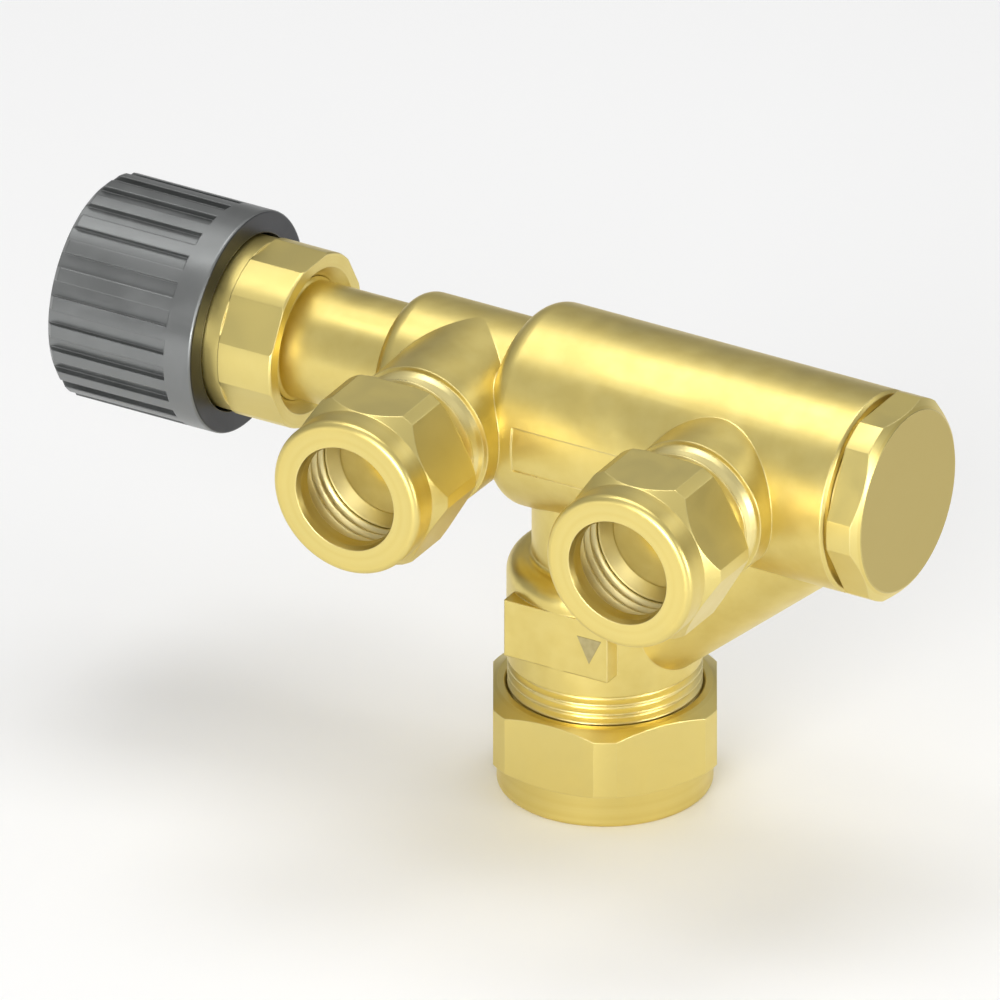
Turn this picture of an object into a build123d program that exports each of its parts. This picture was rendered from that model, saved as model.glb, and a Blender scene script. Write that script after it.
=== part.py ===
from build123d import *
from math import cos, radians, sin, sqrt
import os

# Brass mixing valve with two compression inlets, one compression outlet and an adjusting knob.
# Millimetres, +Z up. The origin is the centre of the outlet's pipe stop. The main axis runs
# along X above it, the knob is at -X, both inlets face -Y and the outlet faces -Z.
# Stations along X are measured from the outlet's axis, inlet and outlet stations from the
# main axis outwards, and nut stations from each nut's face inwards. The bonnet, the spindle,
# the knob and the push rod's screw have stations along X from the spigot's end.

# Driving dimensions: layout
AXIS_HEIGHT = 36.0
COLD_X = -20.0
HOT_X = 25.0
INLET_REACH = 39.75
OUTLET_REACH = 58.0
FLAT_UP = 30.0

# Driving dimensions: fits
RUN = 0.05
SEAL_NIP = 0.02
SMALL_GAP = 0.1
BROAD_GAP = 0.3

# Driving dimensions: body outside
SPIGOT_LEFT = -57.0
SPIGOT_R = 8.7
SPIGOT_THREAD_R = 9.15
SPIGOT_THREAD_LENGTH = 7.7
NECK_LEFT = -32.7
NECK_R = 11.45
NECK_ROUND = 2.7
BARREL_LEFT = -12.5
BARREL_RIGHT = 44.45
BARREL_R = 15.0
BARREL_ROUND = 3.5
BARREL_BREAK = 0.42
EDGE_BREAK = 0.3
BRANCH_ROOT_R = 11.45
BRANCH_R = 11.1
BRANCH_LENGTH = 18.0
BRANCH_SHOULDER = 0.2
COLLAR_R = 10.45
COLLAR_END_R = 10.1
COLLAR_LENGTH = 0.85
PIPE_END_BREAK = 0.5
RISER_R = 10.5
BOSS_TOP = 21.35
BOSS_BOTTOM = 37.65
BOSS_R = 14.1
BOSS_ROUND = 2.9
BOSS_HOLLOW = 0.65
PAD_HALF_WIDTH = 8.5
PAD_REACH = 14.1
PAD_TOP = 25.0
PAD_BOTTOM = 34.0
STRUT_R = 9.0
STRUT_START = 36.0
STRUT_ROOT = 4.0
STRUT_ANGLE = 40.0
STRUT_LENGTH = 50.0
WEB_LEFT = 8.0
WEB_RIGHT = 12.5
WEB_DROP = 2.0
WEB_HALF_WIDTH = 3.0
LABEL_LEFT = -6.9
LABEL_RIGHT = 12.0
LABEL_TOP = 3.4
LABEL_BOTTOM = -3.5
LABEL_DEPTH = 0.15

# Driving dimensions: pipe threads, with rings in place of the helix
INLET_PITCH = 1.814
INLET_THREAD_R = 10.45
INLET_THREAD_DEPTH = 1.15
INLET_RELIEF = 0.95
OUTLET_PITCH = 1.5
OUTLET_THREAD_R = 14.0
OUTLET_THREAD_DEPTH = 0.8
CREST_FLAT = 0.24
ROOT_FLAT = 0.32

# Driving dimensions: body inside
SPIGOT_BORE_R = 6.4
COLD_BORE_LEFT = -34.0
COLD_BORE_R = 8.0
CHAMBER_LEFT = -11.0
CHAMBER_R = 10.5
CHAMBER_RIGHT = 14.0
HOT_BORE_R = 11.3
PLUG_BORE_LEFT = 29.2
PLUG_BORE_R = 13.0
PORT_R = 4.0
RISER_BORE_R = 7.5
OUTLET_STOP = AXIS_HEIGHT
BALANCE_R = 2.2
BALANCE_LOW = (7.0, -31.3)
BALANCE_HIGH = (35.5, -13.0)

# Driving dimensions: compression ends
PIPE_15_R = 7.6
PIPE_22_R = 11.1
SOCKET_SETBACK = 10.45
SEAT_DEPTH = 1.55
INLET_STOP = 20.5
CHECK_BORE_R = 6.6
CHECK_BORE_START = 13.5

# Driving dimensions: 15 mm nut
NUT_15_FLATS = 24.0
NUT_15_CORNER_R = 13.33
NUT_15_COLLAR_R = 11.95
NUT_15_COLLAR = 4.3
NUT_15_CONE = 6.4
NUT_15_LENGTH = 14.9
NUT_15_EDGE_ROUND = 0.95
NUT_15_BACK_BREAK = 0.5
NUT_15_BACK_DROP = 0.8
NUT_15_HOLE_R = 7.75
NUT_15_RINGS_START = 6.47
NUT_15_RINGS = 3

# Driving dimensions: hole at the face of every nut
NUT_HOLE_BREAK = 0.35
NUT_HOLE_BREAK_LENGTH = 0.9
NUT_HOLE_LENGTH = 2.8
NUT_CONE_LENGTH = 2.5

# Driving dimensions: 22 mm nut
NUT_22_FLATS = 32.0
NUT_22_CORNER_R = 17.6
NUT_22_COLLAR_R = 15.5
NUT_22_COLLAR = 5.0
NUT_22_CONE = 6.0
NUT_22_LENGTH = 15.95
NUT_22_RIM_R = 15.45
NUT_22_MOUTH_R = 14.45
NUT_22_BACK_CONE = 1.1
NUT_22_HOLE_R = 11.25
NUT_22_EDGE_ROUND = 0.7
NUT_22_RINGS_START = 6.4
NUT_22_RINGS = 3

# Driving dimensions: bonnet
BONNET_LEFT = -17.0
BONNET_NECK_R = 8.5
RIM_LEFT = -4.2
RIM_RIGHT = 0.5
RIM_R = 12.75
BONNET_RIGHT = 9.3
BONNET_R = 13.0
BONNET_FLATS = 25.0
BONNET_MOUTH_R = 10.9
PILOT_RIGHT = 6.5
PILOT_RING_X = 3.0
KEY_FLATS = 7.0
SPINDLE_BORE_R = 5.6
SPINDLE_SEAT = -3.2
STOP_TOOTH_R = 12.2
STOP_TOOTH_WIDTH = 4.0
STOP_TOOTH_LEFT = -13.0
STOP_TOOTH_RIGHT = -9.0

# Driving dimensions: spindle, its clip and the knob screw
SPINDLE_LEFT = -21.2
SPINDLE_SHOULDER = -15.1
SHANK_R = 4.0
SHANK_FLATS = 6.2
LEAD_THREAD_R = 3.0
LEAD_HOLE_LEFT = -12.8
SPINDLE_RING_X = -9.4
CLIP_LEFT = -16.3
CLIP_THICKNESS = 1.0
CLIP_OUTER_R = 6.2
CLIP_INNER_R = 4.6
CLIP_MOUTH = 3.0
SCREW_R = 1.65
SCREW_HEAD_R = 3.0
SCREW_HEAD_HEIGHT = 2.2
SCREW_RIGHT = -16.5
SCREW_SLOT = 0.8

# Driving dimensions: knob
KNOB_LEFT = -25.9
KNOB_RIGHT = -2.0
KNOB_R = 16.45
KNOB_BREAK = 0.95
KNOB_EDGE_ROUND = 0.4
KNOB_BORE_R = 13.2
KNOB_PLATE = 2.9
KNOB_HUB_R = 7.0
KNOB_RECESS_R = 5.0
STOP_RIB_R = 10.8
FLUTES = 24
FLUTE_RIGHT = -6.4
FLUTE_DEPTH = 0.9
FLUTE_WIDTH = 2.25

# Driving dimensions: push rod and thermostat
PUSH_ROD_LEFT = -11.0
PUSH_KEY_LEFT = -1.5
PUSH_ROD_R = 2.6
PUSH_ROD_RIGHT = -14.5
WAX_ROD_R = 1.4
WAX_ROD_SEAT = 2.5
WAX_ROD_RIGHT = -3.0
WAX_STEM_R = 3.0
WAX_STEM_LEFT = -9.6
WAX_BODY_R = 5.5
WAX_BODY_LEFT = -2.5
WAX_BODY_ROUND = 0.8
WAX_FLANGE_R = 7.0
WAX_FLANGE_LEFT = 8.2
WAX_FLANGE = 1.2

# Driving dimensions: shuttle, its stem and the hot seat
SHUTTLE_LEFT = -9.3
SHUTTLE_RIGHT = 11.3
SHUTTLE_R = 9.6
SHUTTLE_DISC = 1.6
SHUTTLE_RIBS = 4
SHUTTLE_RIB_WIDTH = 2.4
SHUTTLE_RIB_R = 8.2
SHUTTLE_RIB_TURN = 45.0
SHUTTLE_RING_LEFT = 7.6
STEM_R = 3.5
STEM_RIGHT = 37.5
STEM_NOSE_R = 2.2
STEM_NOSE = 3.0
HOT_SEAT = 2.6
HOT_SEAT_HOLE_R = 8.0

# Driving dimensions: divider and end plug
DIVIDER = 2.8
DIVIDER_HUB_R = 6.5
DIVIDER_HUB_LEFT = 25.0
STEM_RING_X = 26.9
PLUG_SKIRT_R = 11.4
PLUG_SKIRT_BORE_R = 9.6
PLUG_THREAD_LEFT = 39.5
PLUG_WINDOWS = 4
PLUG_WINDOW_WIDTH = 6.0
PLUG_WINDOW_LEFT = 33.8
PLUG_RING_X = 43.4
PLUG_FLATS = 28.0
PLUG_CORNER_R = 15.0
PLUG_COLLAR_R = 13.4
PLUG_HEAD_LEFT = 45.1
PLUG_HEAD_RIGHT = 50.0
PLUG_FACE_R = 13.46
PLUG_FACE_BREAK = 1.0
SPRING_POCKET_R = 4.2
SPRING_POCKET_RIGHT = 46.0

# Driving dimensions: springs
RETURN_SPRING_R = 2.9
RETURN_WIRE_R = 0.5
RETURN_TURNS = 5
CHECK_SPRING_R = 1.6
CHECK_WIRE_R = 0.2
CHECK_TURNS = 3

# Driving dimensions: check valves
CHECK_CAGE_END = 19.0
CHECK_WALL = 0.75
CHECK_HUB = 1.5
CHECK_HUB_R = 2.0
CHECK_ARMS = 3
CHECK_ARM_WIDTH = 1.2
CHECK_ARM_TURN = 90.0
CHECK_SEAT_HOLE_R = 4.6
POPPET_R = 5.2
POPPET_THICKNESS = 1.2
POPPET_STEM_R = 0.9
POPPET_STEM_END = 14.0

# Driving dimensions: sealing rings, as the radius of the ring's own section
SMALL_SECTION = 0.55
RING_GROOVE = 1.3

# Places: local Z runs outwards along each axis
MAIN = Location((0, 0, AXIS_HEIGHT), (0, 90, 0))
HEAD = Location((SPIGOT_LEFT, 0, AXIS_HEIGHT), (0, 90, 0))
COLD = Location((COLD_X, 0, AXIS_HEIGHT), (90, 0, 0))
HOT = Location((HOT_X, 0, AXIS_HEIGHT), (90, 0, 0))
OUTLET = Location((0, 0, AXIS_HEIGHT), (180, 0, 0))


def turned(outline, place):
    """Solid of revolution from (station, radius) or (station, radius, corner round) points."""
    corners = [(point[1], 0, point[0]) for point in outline]
    rounds = [point[2] if len(point) > 2 else 0 for point in outline]
    if any(rounds):
        edge = FilletPolyline(*corners, radius=rounds, close=True)
    else:
        edge = Polyline(*corners, close=True)
    return place * revolve(make_face(edge), Axis.Z, 360)


def tube(start, end, outer, inner, place):
    """Plain round tube between two stations, or a bar where inner is 0."""
    return turned([(start, inner), (start, outer), (end, outer), (end, inner)], place)


def hexagon(flats, start, end, place, turn=0.0):
    """Six-sided bar between two stations, with corners at turn and every 60 degrees on."""
    outline = RegularPolygon(flats / 2, 6, major_radius=False, rotation=turn)
    return place * Pos(0, 0, start) * extrude(outline, end - start)


def block(low, high):
    """Box between two corners, in the part's own frame."""
    size = [top - bottom for bottom, top in zip(low, high)]
    middle = [(top + bottom) / 2 for bottom, top in zip(low, high)]
    return Pos(*middle) * Box(*size)


def ring(station, centre_r, section_r, place):
    """Round sealing ring."""
    return place * Pos(0, 0, station) * Torus(centre_r, section_r)


def coil(start, end, centre_r, wire_r, turns, place):
    """Coil spring between two stations."""
    low = start + wire_r
    height = end - start - 2 * wire_r
    path = Helix(height / turns, height, centre_r)
    section = Plane(path @ 0, z_dir=path % 0) * Circle(wire_r)
    return place * Pos(0, 0, low) * sweep(section, path, is_frenet=True)


def flank_length(pitch):
    """Length along the axis of one flank of a thread's ring."""
    return (pitch - CREST_FLAT - ROOT_FLAT) / 2


def male_rings(start, count, crest_r, pitch, depth):
    """Outline points of a male thread's rings, from start outwards."""
    flank = flank_length(pitch)
    root_r = crest_r - depth
    points = []
    for index in range(count):
        low = start + index * pitch
        points += [
            (low, root_r),
            (low + ROOT_FLAT, root_r),
            (low + ROOT_FLAT + flank, crest_r),
            (low + ROOT_FLAT + flank + CREST_FLAT, crest_r),
        ]
    return points


def female_rings(start, count, root_r, pitch, depth):
    """Outline points of a female thread's rings, from start outwards."""
    flank = flank_length(pitch)
    crest_r = root_r - depth
    points = [(start - flank, root_r)]
    for index in range(count):
        low = start + index * pitch
        points += [
            (low, crest_r),
            (low + CREST_FLAT, crest_r),
            (low + CREST_FLAT + flank, root_r),
            (low + CREST_FLAT + flank + ROOT_FLAT, root_r),
        ]
    return points


def inlet_branch(place):
    """Outside of one inlet: plain branch, then its male thread up to the pipe end."""
    end = INLET_REACH - SOCKET_SETBACK
    collar_start = BRANCH_LENGTH + BRANCH_SHOULDER
    collar_end = collar_start + COLLAR_LENGTH
    thread_start = collar_end + INLET_RELIEF
    nut_back = INLET_REACH - NUT_15_LENGTH
    rings = int((nut_back - thread_start) / INLET_PITCH) + 1
    end_break = INLET_THREAD_DEPTH - RUN
    outline = [
        (0, 0),
        (0, BRANCH_ROOT_R),
        (BRANCH_LENGTH, BRANCH_R),
        (collar_start, COLLAR_R),
        (collar_end, COLLAR_END_R),
        *male_rings(thread_start, rings, INLET_THREAD_R, INLET_PITCH, INLET_THREAD_DEPTH),
        (end - end_break, INLET_THREAD_R),
        (end, INLET_THREAD_R - end_break),
        (end, 0),
    ]
    return turned(outline, place)


def inlet_bore(place):
    """Inside of one inlet: port, check valve bore, pipe socket and cone seat."""
    end = INLET_REACH - SOCKET_SETBACK
    outline = [
        (0, 0),
        (0, PORT_R),
        (CHECK_BORE_START, PORT_R),
        (CHECK_BORE_START, CHECK_BORE_R),
        (INLET_STOP, CHECK_BORE_R),
        (INLET_STOP, PIPE_15_R),
        (end - SEAT_DEPTH, PIPE_15_R),
        (end, PIPE_15_R + SEAT_DEPTH),
        (end + 1, PIPE_15_R + SEAT_DEPTH),
        (end + 1, 0),
    ]
    return turned(outline, place)


def outlet_outside():
    """Riser, boss with its wrench flats, and the male thread of the outlet."""
    end = OUTLET_REACH - SOCKET_SETBACK
    thread_start = BOSS_BOTTOM + flank_length(OUTLET_PITCH)
    nut_back = OUTLET_REACH - NUT_22_LENGTH
    rings = int((nut_back - thread_start) / OUTLET_PITCH) + 2
    outline = [
        (0, 0),
        (0, RISER_R),
        (BOSS_TOP, RISER_R, BOSS_HOLLOW),
        (BOSS_TOP, BOSS_R, BOSS_ROUND),
        (BOSS_BOTTOM, BOSS_R),
        *male_rings(thread_start, rings, OUTLET_THREAD_R, OUTLET_PITCH, OUTLET_THREAD_DEPTH),
        (end - PIPE_END_BREAK, OUTLET_THREAD_R),
        (end, OUTLET_THREAD_R - PIPE_END_BREAK),
        (end, 0),
    ]
    pads = block(
        (-PAD_HALF_WIDTH, -PAD_REACH, AXIS_HEIGHT - PAD_BOTTOM),
        (PAD_HALF_WIDTH, PAD_REACH, AXIS_HEIGHT - PAD_TOP),
    )
    return turned(outline, OUTLET) + pads


def outlet_bore():
    """Riser bore, pipe socket and cone seat of the outlet."""
    end = OUTLET_REACH - SOCKET_SETBACK
    outline = [
        (0, 0),
        (0, RISER_BORE_R),
        (OUTLET_STOP, RISER_BORE_R),
        (OUTLET_STOP, PIPE_22_R),
        (end - SEAT_DEPTH, PIPE_22_R),
        (end, PIPE_22_R + SEAT_DEPTH),
        (end + 1, PIPE_22_R + SEAT_DEPTH),
        (end + 1, 0),
    ]
    return turned(outline, OUTLET)


def slanted_bar(low, high, radius):
    """Round bar in the XZ plane between two (x, z) points measured from the main axis."""
    run = high[0] - low[0]
    rise = high[1] - low[1]
    start = Vector(low[0], 0, AXIS_HEIGHT + low[1])
    plane = Plane(origin=start, z_dir=(run, 0, rise))
    return extrude(plane * Circle(radius), sqrt(run**2 + rise**2))


def strut_point(along):
    """Point on the slanted branch's axis, as (x, z) measured from the main axis."""
    angle = radians(STRUT_ANGLE)
    return (along * cos(angle), along * sin(angle) - STRUT_START)


def valve_body():
    """The cast and turned body with every bore."""
    spigot = turned(
        [
            (SPIGOT_LEFT, 0),
            (SPIGOT_LEFT, SPIGOT_THREAD_R - PIPE_END_BREAK),
            (SPIGOT_LEFT + PIPE_END_BREAK, SPIGOT_THREAD_R),
            (SPIGOT_LEFT + SPIGOT_THREAD_LENGTH, SPIGOT_THREAD_R),
            (SPIGOT_LEFT + SPIGOT_THREAD_LENGTH + PIPE_END_BREAK, SPIGOT_R),
            (NECK_LEFT + NECK_ROUND, SPIGOT_R),
            (NECK_LEFT + NECK_ROUND, 0),
        ],
        MAIN,
    )
    neck = turned(
        [
            (NECK_LEFT, 0),
            (NECK_LEFT, NECK_R, NECK_ROUND),
            (BARREL_LEFT + BARREL_ROUND, NECK_R),
            (BARREL_LEFT + BARREL_ROUND, 0),
        ],
        MAIN,
    )
    barrel = turned(
        [
            (BARREL_LEFT, 0),
            (BARREL_LEFT, BARREL_R, BARREL_ROUND),
            (BARREL_RIGHT - BARREL_BREAK, BARREL_R),
            (BARREL_RIGHT, BARREL_R - BARREL_BREAK),
            (BARREL_RIGHT, 0),
        ],
        MAIN,
    )
    strut = slanted_bar(strut_point(STRUT_ROOT), strut_point(STRUT_LENGTH), STRUT_R)
    web = block(
        (WEB_LEFT, -WEB_HALF_WIDTH, AXIS_HEIGHT - BARREL_R - WEB_DROP),
        (WEB_RIGHT, WEB_HALF_WIDTH, AXIS_HEIGHT - BARREL_R + WEB_DROP),
    )
    label = block(
        (LABEL_LEFT, -BARREL_R - 1, AXIS_HEIGHT + LABEL_BOTTOM),
        (LABEL_RIGHT, -BARREL_R / 2, AXIS_HEIGHT + LABEL_TOP),
    )
    label -= tube(LABEL_LEFT - 1, LABEL_RIGHT + 1, BARREL_R - LABEL_DEPTH, 0, MAIN)
    outside = spigot + neck + (barrel - label) + outlet_outside() + strut + web
    outside += inlet_branch(COLD) + inlet_branch(HOT)
    main_bore = turned(
        [
            (SPIGOT_LEFT - 1, 0),
            (SPIGOT_LEFT - 1, SPIGOT_BORE_R),
            (COLD_BORE_LEFT, SPIGOT_BORE_R),
            (COLD_BORE_LEFT, COLD_BORE_R),
            (CHAMBER_LEFT, COLD_BORE_R),
            (CHAMBER_LEFT, CHAMBER_R),
            (CHAMBER_RIGHT, CHAMBER_R),
            (CHAMBER_RIGHT, HOT_BORE_R),
            (PLUG_BORE_LEFT, HOT_BORE_R),
            (PLUG_BORE_LEFT, PLUG_BORE_R),
            (BARREL_RIGHT + 1, PLUG_BORE_R),
            (BARREL_RIGHT + 1, 0),
        ],
        MAIN,
    )
    balance = slanted_bar(BALANCE_LOW, BALANCE_HIGH, BALANCE_R)
    inside = main_bore + inlet_bore(COLD) + inlet_bore(HOT) + outlet_bore() + balance
    return outside - inside


def compression_nut_15(place):
    """15 mm compression nut: hexagon, turned collar, pipe hole, thread and cone."""
    thread_root_r = INLET_THREAD_R + RUN
    rings = female_rings(
        NUT_15_RINGS_START, NUT_15_RINGS, thread_root_r, INLET_PITCH, INLET_THREAD_DEPTH
    )
    envelope = [
        (0, NUT_15_HOLE_R + NUT_HOLE_BREAK),
        (0, NUT_15_COLLAR_R, NUT_15_EDGE_ROUND),
        (NUT_15_COLLAR, NUT_15_COLLAR_R),
        (NUT_15_CONE, NUT_15_CORNER_R),
        (NUT_15_LENGTH - NUT_15_BACK_BREAK, NUT_15_CORNER_R),
        (NUT_15_LENGTH, NUT_15_CORNER_R - NUT_15_BACK_DROP),
        (NUT_15_LENGTH, thread_root_r),
        *reversed(rings),
        (NUT_HOLE_LENGTH + NUT_CONE_LENGTH, thread_root_r),
        (NUT_HOLE_LENGTH, NUT_15_HOLE_R),
        (NUT_HOLE_BREAK_LENGTH, NUT_15_HOLE_R),
    ]
    facing = place * Pos(0, 0, INLET_REACH) * Rot(180, 0, 0)
    bar = hexagon(NUT_15_FLATS, -1, NUT_15_LENGTH + 1, facing)
    return turned(envelope, facing) & bar


def compression_nut_22():
    """22 mm compression nut, built like the smaller ones, with a wide mouth at its back."""
    thread_root_r = OUTLET_THREAD_R + RUN
    rings = female_rings(
        NUT_22_RINGS_START, NUT_22_RINGS, thread_root_r, OUTLET_PITCH, OUTLET_THREAD_DEPTH
    )
    envelope = [
        (0, NUT_22_HOLE_R + NUT_HOLE_BREAK),
        (0, NUT_22_COLLAR_R, NUT_22_EDGE_ROUND),
        (NUT_22_COLLAR, NUT_22_COLLAR_R),
        (NUT_22_CONE, NUT_22_CORNER_R),
        (NUT_22_LENGTH - NUT_22_BACK_CONE, NUT_22_CORNER_R),
        (NUT_22_LENGTH, NUT_22_RIM_R),
        (NUT_22_LENGTH, NUT_22_MOUTH_R),
        (NUT_22_LENGTH - (NUT_22_MOUTH_R - thread_root_r), thread_root_r),
        *reversed(rings),
        (NUT_HOLE_LENGTH + NUT_CONE_LENGTH, thread_root_r),
        (NUT_HOLE_LENGTH, NUT_22_HOLE_R),
        (NUT_HOLE_BREAK_LENGTH, NUT_22_HOLE_R),
    ]
    facing = OUTLET * Pos(0, 0, OUTLET_REACH) * Rot(180, 0, 0)
    bar = hexagon(NUT_22_FLATS, -1, NUT_22_LENGTH + 1, facing)
    return turned(envelope, facing) & bar


def bonnet():
    """Hexagonal head that screws over the spigot and carries the spindle."""
    neck = tube(BONNET_LEFT, RIM_LEFT, BONNET_NECK_R, 0, HEAD)
    rim = tube(RIM_LEFT, RIM_RIGHT, RIM_R, 0, HEAD)
    head = turned(
        [
            (RIM_RIGHT, 0),
            (RIM_RIGHT, BONNET_R),
            (BONNET_RIGHT - EDGE_BREAK, BONNET_R),
            (BONNET_RIGHT, BONNET_R - EDGE_BREAK / 2),
            (BONNET_RIGHT, 0),
        ],
        HEAD,
    )
    head &= hexagon(BONNET_FLATS, RIM_RIGHT - 1, BONNET_RIGHT + 1, HEAD, FLAT_UP)
    tooth = Pos(SPIGOT_LEFT, 0, 0) * block(
        (STOP_TOOTH_LEFT, -STOP_TOOTH_WIDTH / 2, AXIS_HEIGHT - STOP_TOOTH_R),
        (STOP_TOOTH_RIGHT, STOP_TOOTH_WIDTH / 2, AXIS_HEIGHT - BONNET_NECK_R + 1),
    )
    spigot_space = turned(
        [
            (-SMALL_GAP, SPIGOT_BORE_R - SMALL_GAP),
            (-SMALL_GAP, SPIGOT_THREAD_R + RUN),
            (BONNET_RIGHT - (BONNET_MOUTH_R - SPIGOT_THREAD_R), SPIGOT_THREAD_R + RUN),
            (BONNET_RIGHT, BONNET_MOUTH_R),
            (BONNET_RIGHT + 1, BONNET_MOUTH_R),
            (BONNET_RIGHT + 1, 0),
            (PILOT_RIGHT, 0),
            (PILOT_RIGHT, SPIGOT_BORE_R - SMALL_GAP),
        ],
        HEAD,
    )
    spindle_space = tube(BONNET_LEFT - 1, SPINDLE_SEAT, SPINDLE_BORE_R, 0, HEAD)
    key_space = hexagon(KEY_FLATS, SPINDLE_SEAT - 1, PILOT_RIGHT + 1, HEAD, FLAT_UP)
    clip_groove = tube(
        CLIP_LEFT - SMALL_GAP,
        CLIP_LEFT + CLIP_THICKNESS + SMALL_GAP,
        CLIP_OUTER_R + SMALL_GAP,
        0,
        HEAD,
    )
    pilot_r = SPIGOT_BORE_R - SMALL_GAP
    ring_groove = tube(
        PILOT_RING_X - RING_GROOVE / 2,
        PILOT_RING_X + RING_GROOVE / 2,
        pilot_r + 1,
        SPIGOT_BORE_R - 2 * SMALL_SECTION - SEAL_NIP,
        HEAD,
    )
    solid = neck + rim + head + tooth
    return solid - spigot_space - spindle_space - key_space - clip_groove - ring_groove


def bonnet_o_ring():
    """Ring between the bonnet's pilot and the spigot's bore."""
    centre_r = SPIGOT_BORE_R - SMALL_SECTION - SEAL_NIP / 2
    return ring(PILOT_RING_X, centre_r, SMALL_SECTION, HEAD)


def spindle():
    """Turning spindle: sealed collar, flatted shank and lead screw hole."""
    collar_r = SPINDLE_BORE_R - SMALL_GAP
    collar = tube(SPINDLE_SHOULDER, SPINDLE_SEAT - SMALL_GAP, collar_r, 0, HEAD)
    shank = tube(SPINDLE_LEFT, SPINDLE_SHOULDER, SHANK_R, 0, HEAD)
    shank &= Pos(SPIGOT_LEFT, 0, 0) * block(
        (SPINDLE_LEFT - 1, -SHANK_FLATS / 2, 0),
        (SPINDLE_SHOULDER + 1, SHANK_FLATS / 2, AXIS_HEIGHT + BARREL_R),
    )
    lead_hole = tube(LEAD_HOLE_LEFT, SPINDLE_SEAT + 1, LEAD_THREAD_R + RUN, 0, HEAD)
    screw_hole = tube(SPINDLE_LEFT - 1, SCREW_RIGHT + 1, SCREW_R + RUN, 0, HEAD)
    ring_groove = tube(
        SPINDLE_RING_X - RING_GROOVE / 2,
        SPINDLE_RING_X + RING_GROOVE / 2,
        SPINDLE_BORE_R + 1,
        SPINDLE_BORE_R - 2 * SMALL_SECTION - SEAL_NIP,
        HEAD,
    )
    return collar + shank - lead_hole - screw_hole - ring_groove


def spindle_o_ring():
    """Ring that seals the spindle in the bonnet."""
    centre_r = SPINDLE_BORE_R - SMALL_SECTION - SEAL_NIP / 2
    return ring(SPINDLE_RING_X, centre_r, SMALL_SECTION, HEAD)


def spindle_clip():
    """Open retaining ring in the bonnet's groove, in front of the spindle's collar."""
    whole = tube(CLIP_LEFT, CLIP_LEFT + CLIP_THICKNESS, CLIP_OUTER_R, CLIP_INNER_R, HEAD)
    mouth = Pos(SPIGOT_LEFT, 0, 0) * block(
        (CLIP_LEFT - 1, -CLIP_MOUTH / 2, AXIS_HEIGHT),
        (CLIP_LEFT + CLIP_THICKNESS + 1, CLIP_MOUTH / 2, AXIS_HEIGHT + BARREL_R),
    )
    return whole - mouth


def knob():
    """Fluted knob with its hub, screw recess and stop rib."""
    web_left = KNOB_LEFT + KNOB_PLATE
    shell = turned(
        [
            (KNOB_LEFT, 0),
            (KNOB_LEFT, KNOB_R - KNOB_BREAK),
            (KNOB_LEFT + KNOB_BREAK, KNOB_R),
            (KNOB_RIGHT, KNOB_R, KNOB_EDGE_ROUND),
            (KNOB_RIGHT, KNOB_BORE_R),
            (web_left, KNOB_BORE_R),
            (web_left, KNOB_HUB_R),
            (BONNET_LEFT - BROAD_GAP, KNOB_HUB_R),
            (BONNET_LEFT - BROAD_GAP, 0),
        ],
        HEAD,
    )
    rib = Pos(SPIGOT_LEFT, 0, 0) * block(
        (STOP_TOOTH_LEFT - 2, -STOP_TOOTH_WIDTH / 2, AXIS_HEIGHT + STOP_RIB_R),
        (STOP_TOOTH_RIGHT, STOP_TOOTH_WIDTH / 2, AXIS_HEIGHT + KNOB_BORE_R + 1),
    )
    recess = tube(KNOB_LEFT - 1, web_left, KNOB_RECESS_R, 0, HEAD)
    screw_hole = tube(web_left - 1, SPINDLE_LEFT, SCREW_R + SMALL_GAP, 0, HEAD)
    shank_hole = tube(
        SPINDLE_LEFT - SMALL_GAP, BONNET_LEFT + 1, SHANK_R + RUN, 0, HEAD
    )
    shank_hole &= Pos(SPIGOT_LEFT, 0, 0) * block(
        (SPINDLE_LEFT - 1, -SHANK_FLATS / 2 - RUN, 0),
        (BONNET_LEFT + 1, SHANK_FLATS / 2 + RUN, AXIS_HEIGHT + BARREL_R),
    )
    cutter = Pos(KNOB_R, 0, (KNOB_LEFT + FLUTE_RIGHT - 1) / 2) * Box(
        4 * FLUTE_DEPTH, FLUTE_WIDTH, FLUTE_RIGHT - KNOB_LEFT + 1
    )
    floor = tube(KNOB_LEFT - 1, FLUTE_RIGHT, KNOB_R - FLUTE_DEPTH, 0, HEAD)
    flutes = [
        HEAD * Rot(0, 0, (index + 0.5) * 360 / FLUTES) * cutter - floor
        for index in range(FLUTES)
    ]
    return shell + rib - recess - screw_hole - shank_hole - flutes


def knob_screw():
    """Slotted screw that holds the knob on the spindle."""
    head_right = KNOB_LEFT + KNOB_PLATE
    head = tube(head_right - SCREW_HEAD_HEIGHT, head_right, SCREW_HEAD_R, 0, HEAD)
    shank = tube(head_right, SCREW_RIGHT, SCREW_R, 0, HEAD)
    slot = Pos(SPIGOT_LEFT, 0, 0) * block(
        (
            head_right - SCREW_HEAD_HEIGHT - 1,
            -SCREW_HEAD_R - 1,
            AXIS_HEIGHT - SCREW_SLOT / 2,
        ),
        (
            head_right - SCREW_HEAD_HEIGHT / 2,
            SCREW_HEAD_R + 1,
            AXIS_HEIGHT + SCREW_SLOT / 2,
        ),
    )
    return head + shank - slot


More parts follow.
